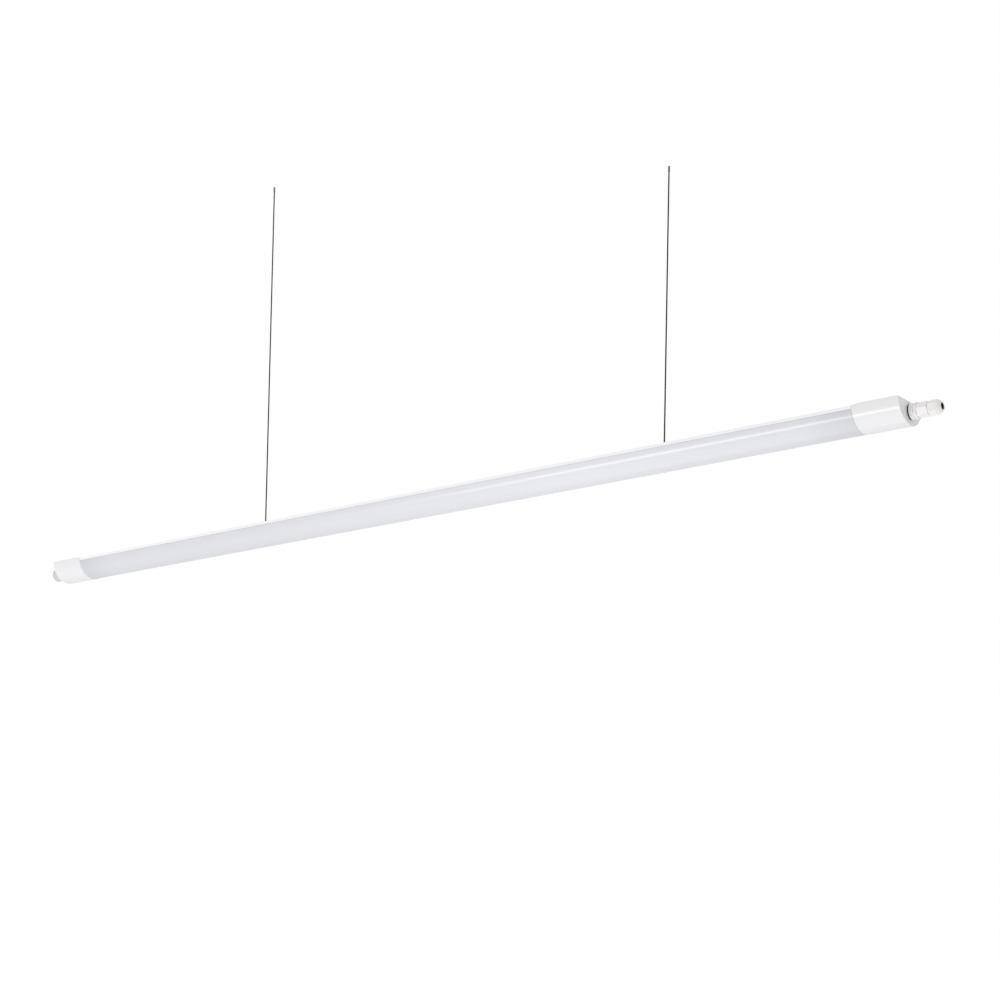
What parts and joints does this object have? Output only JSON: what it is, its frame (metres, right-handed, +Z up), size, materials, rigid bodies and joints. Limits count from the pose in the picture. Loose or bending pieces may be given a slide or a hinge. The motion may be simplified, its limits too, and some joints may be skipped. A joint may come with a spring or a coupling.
{
  "type": "vapor-tight light",
  "caption": "Slim suspended vapor-tight light: half-round frosted tube under an aluminium housing, end caps, cable gland and adjustable suspension wires.",
  "frame": {"origin": "middle of the housing's flat back, level with the mouth of its T-slot, the line that both hangers carry", "axes": "+X along the tube towards the cable gland, +Y across the tube, +Z up towards the ceiling"},
  "size_m": [1.5673, 0.063, 0.5869],
  "materials": {
    "white_aluminium": "satin powder coat",
    "frosted_diffuser": "frosted satin",
    "cap_plastic": "smooth moulded",
    "gland_plastic": "moulded nylon",
    "black_rubber": "matt",
    "white_rubber": "silicone",
    "white_sheet": "white reflector enamel",
    "board_white": "white solder mask",
    "led_phosphor": "yellow phosphor",
    "connector_plastic": "moulded",
    "driver_plastic": "moulded",
    "lead_insulation": "smooth insulation",
    "earth_insulation": "green and yellow insulation",
    "screw_steel": "zinc plated",
    "hanger_steel": "nickel plated",
    "wire_steel": "stranded",
    "sleeve_steel": "crimped"
  },
  "bodies": {
    "light": {"housing": "white_aluminium", "diffuser": "frosted_diffuser", "gear_tray": "white_sheet", "driver_case": "driver_plastic", "driver_lid": "driver_plastic", "led_board_near": "board_white", "led_board_middle": "board_white", "led_board_far": "board_white", "led_chips_near": "led_phosphor", "led_chips_middle": "led_phosphor", "led_chips_far": "led_phosphor", "board_links": "connector_plastic", "board_screws": "screw_steel", "terminal_block": "connector_plastic", "terminal_screws": "screw_steel", "supply_leads": "lead_insulation", "board_leads": "lead_insulation", "earth_lead": "earth_insulation", "earth_screw": "screw_steel", "end_cap_near": "cap_plastic", "end_cap_far": "cap_plastic", "cap_gasket_near": "white_rubber", "cap_gasket_far": "white_rubber", "cap_screws_near": "screw_steel", "cap_screws_far": "screw_steel", "gland_seal": "black_rubber", "gland_locknut": "gland_plastic", "gland_body": "gland_plastic", "plug_seal": "black_rubber", "blanking_plug": "gland_plastic"},
    "clamp": {"clamping_insert": "black_rubber"},
    "nut": {"dome_nut": "gland_plastic"},
    "hanger_left": {"hanger_slider_left": "hanger_steel", "hanger_collar_left": "hanger_steel"},
    "suspension_left": {"wire_ball_left": "hanger_steel", "wire_left": "wire_steel", "wire_sleeve_left": "sleeve_steel"},
    "hanger_right": {"hanger_slider_right": "hanger_steel", "hanger_collar_right": "hanger_steel"},
    "suspension_right": {"wire_ball_right": "hanger_steel", "wire_right": "wire_steel", "wire_sleeve_right": "sleeve_steel"}
  },
  "joints": [
    {"name": "clamp_slide", "type": "slide", "parent": "light", "child": "clamp", "axis": [1, 0, 0], "range_m": [0, 0.0061]},
    {"name": "nut_turn", "type": "hinge", "parent": "clamp", "child": "nut", "pos_m": [0.77, 0, -0.0115], "axis": [1, 0, 0], "range_deg": [0, 1440]},
    {"name": "hanger_left_slide", "type": "slide", "parent": "light", "child": "hanger_left", "axis": [1, 0, 0], "range_m": [-0.353, 0.267]},
    {"name": "wire_left_lean", "type": "hinge", "parent": "hanger_left", "child": "suspension_left", "pos_m": [-0.307, 0, 0.0032], "axis": [0, 1, 0], "range_deg": [-13.4, 16.6]},
    {"name": "hanger_right_slide", "type": "slide", "parent": "light", "child": "hanger_right", "axis": [1, 0, 0], "range_m": [-0.363, 0.257]},
    {"name": "wire_right_lean", "type": "hinge", "parent": "hanger_right", "child": "suspension_right", "pos_m": [0.403, 0, 0.0032], "axis": [0, 1, 0], "range_deg": [-16.6, 13.4]}
  ],
  "couplings": [
    {"joint": "clamp_slide", "follows": "nut_turn", "m_per_rad": 0.00023873}
  ]
}
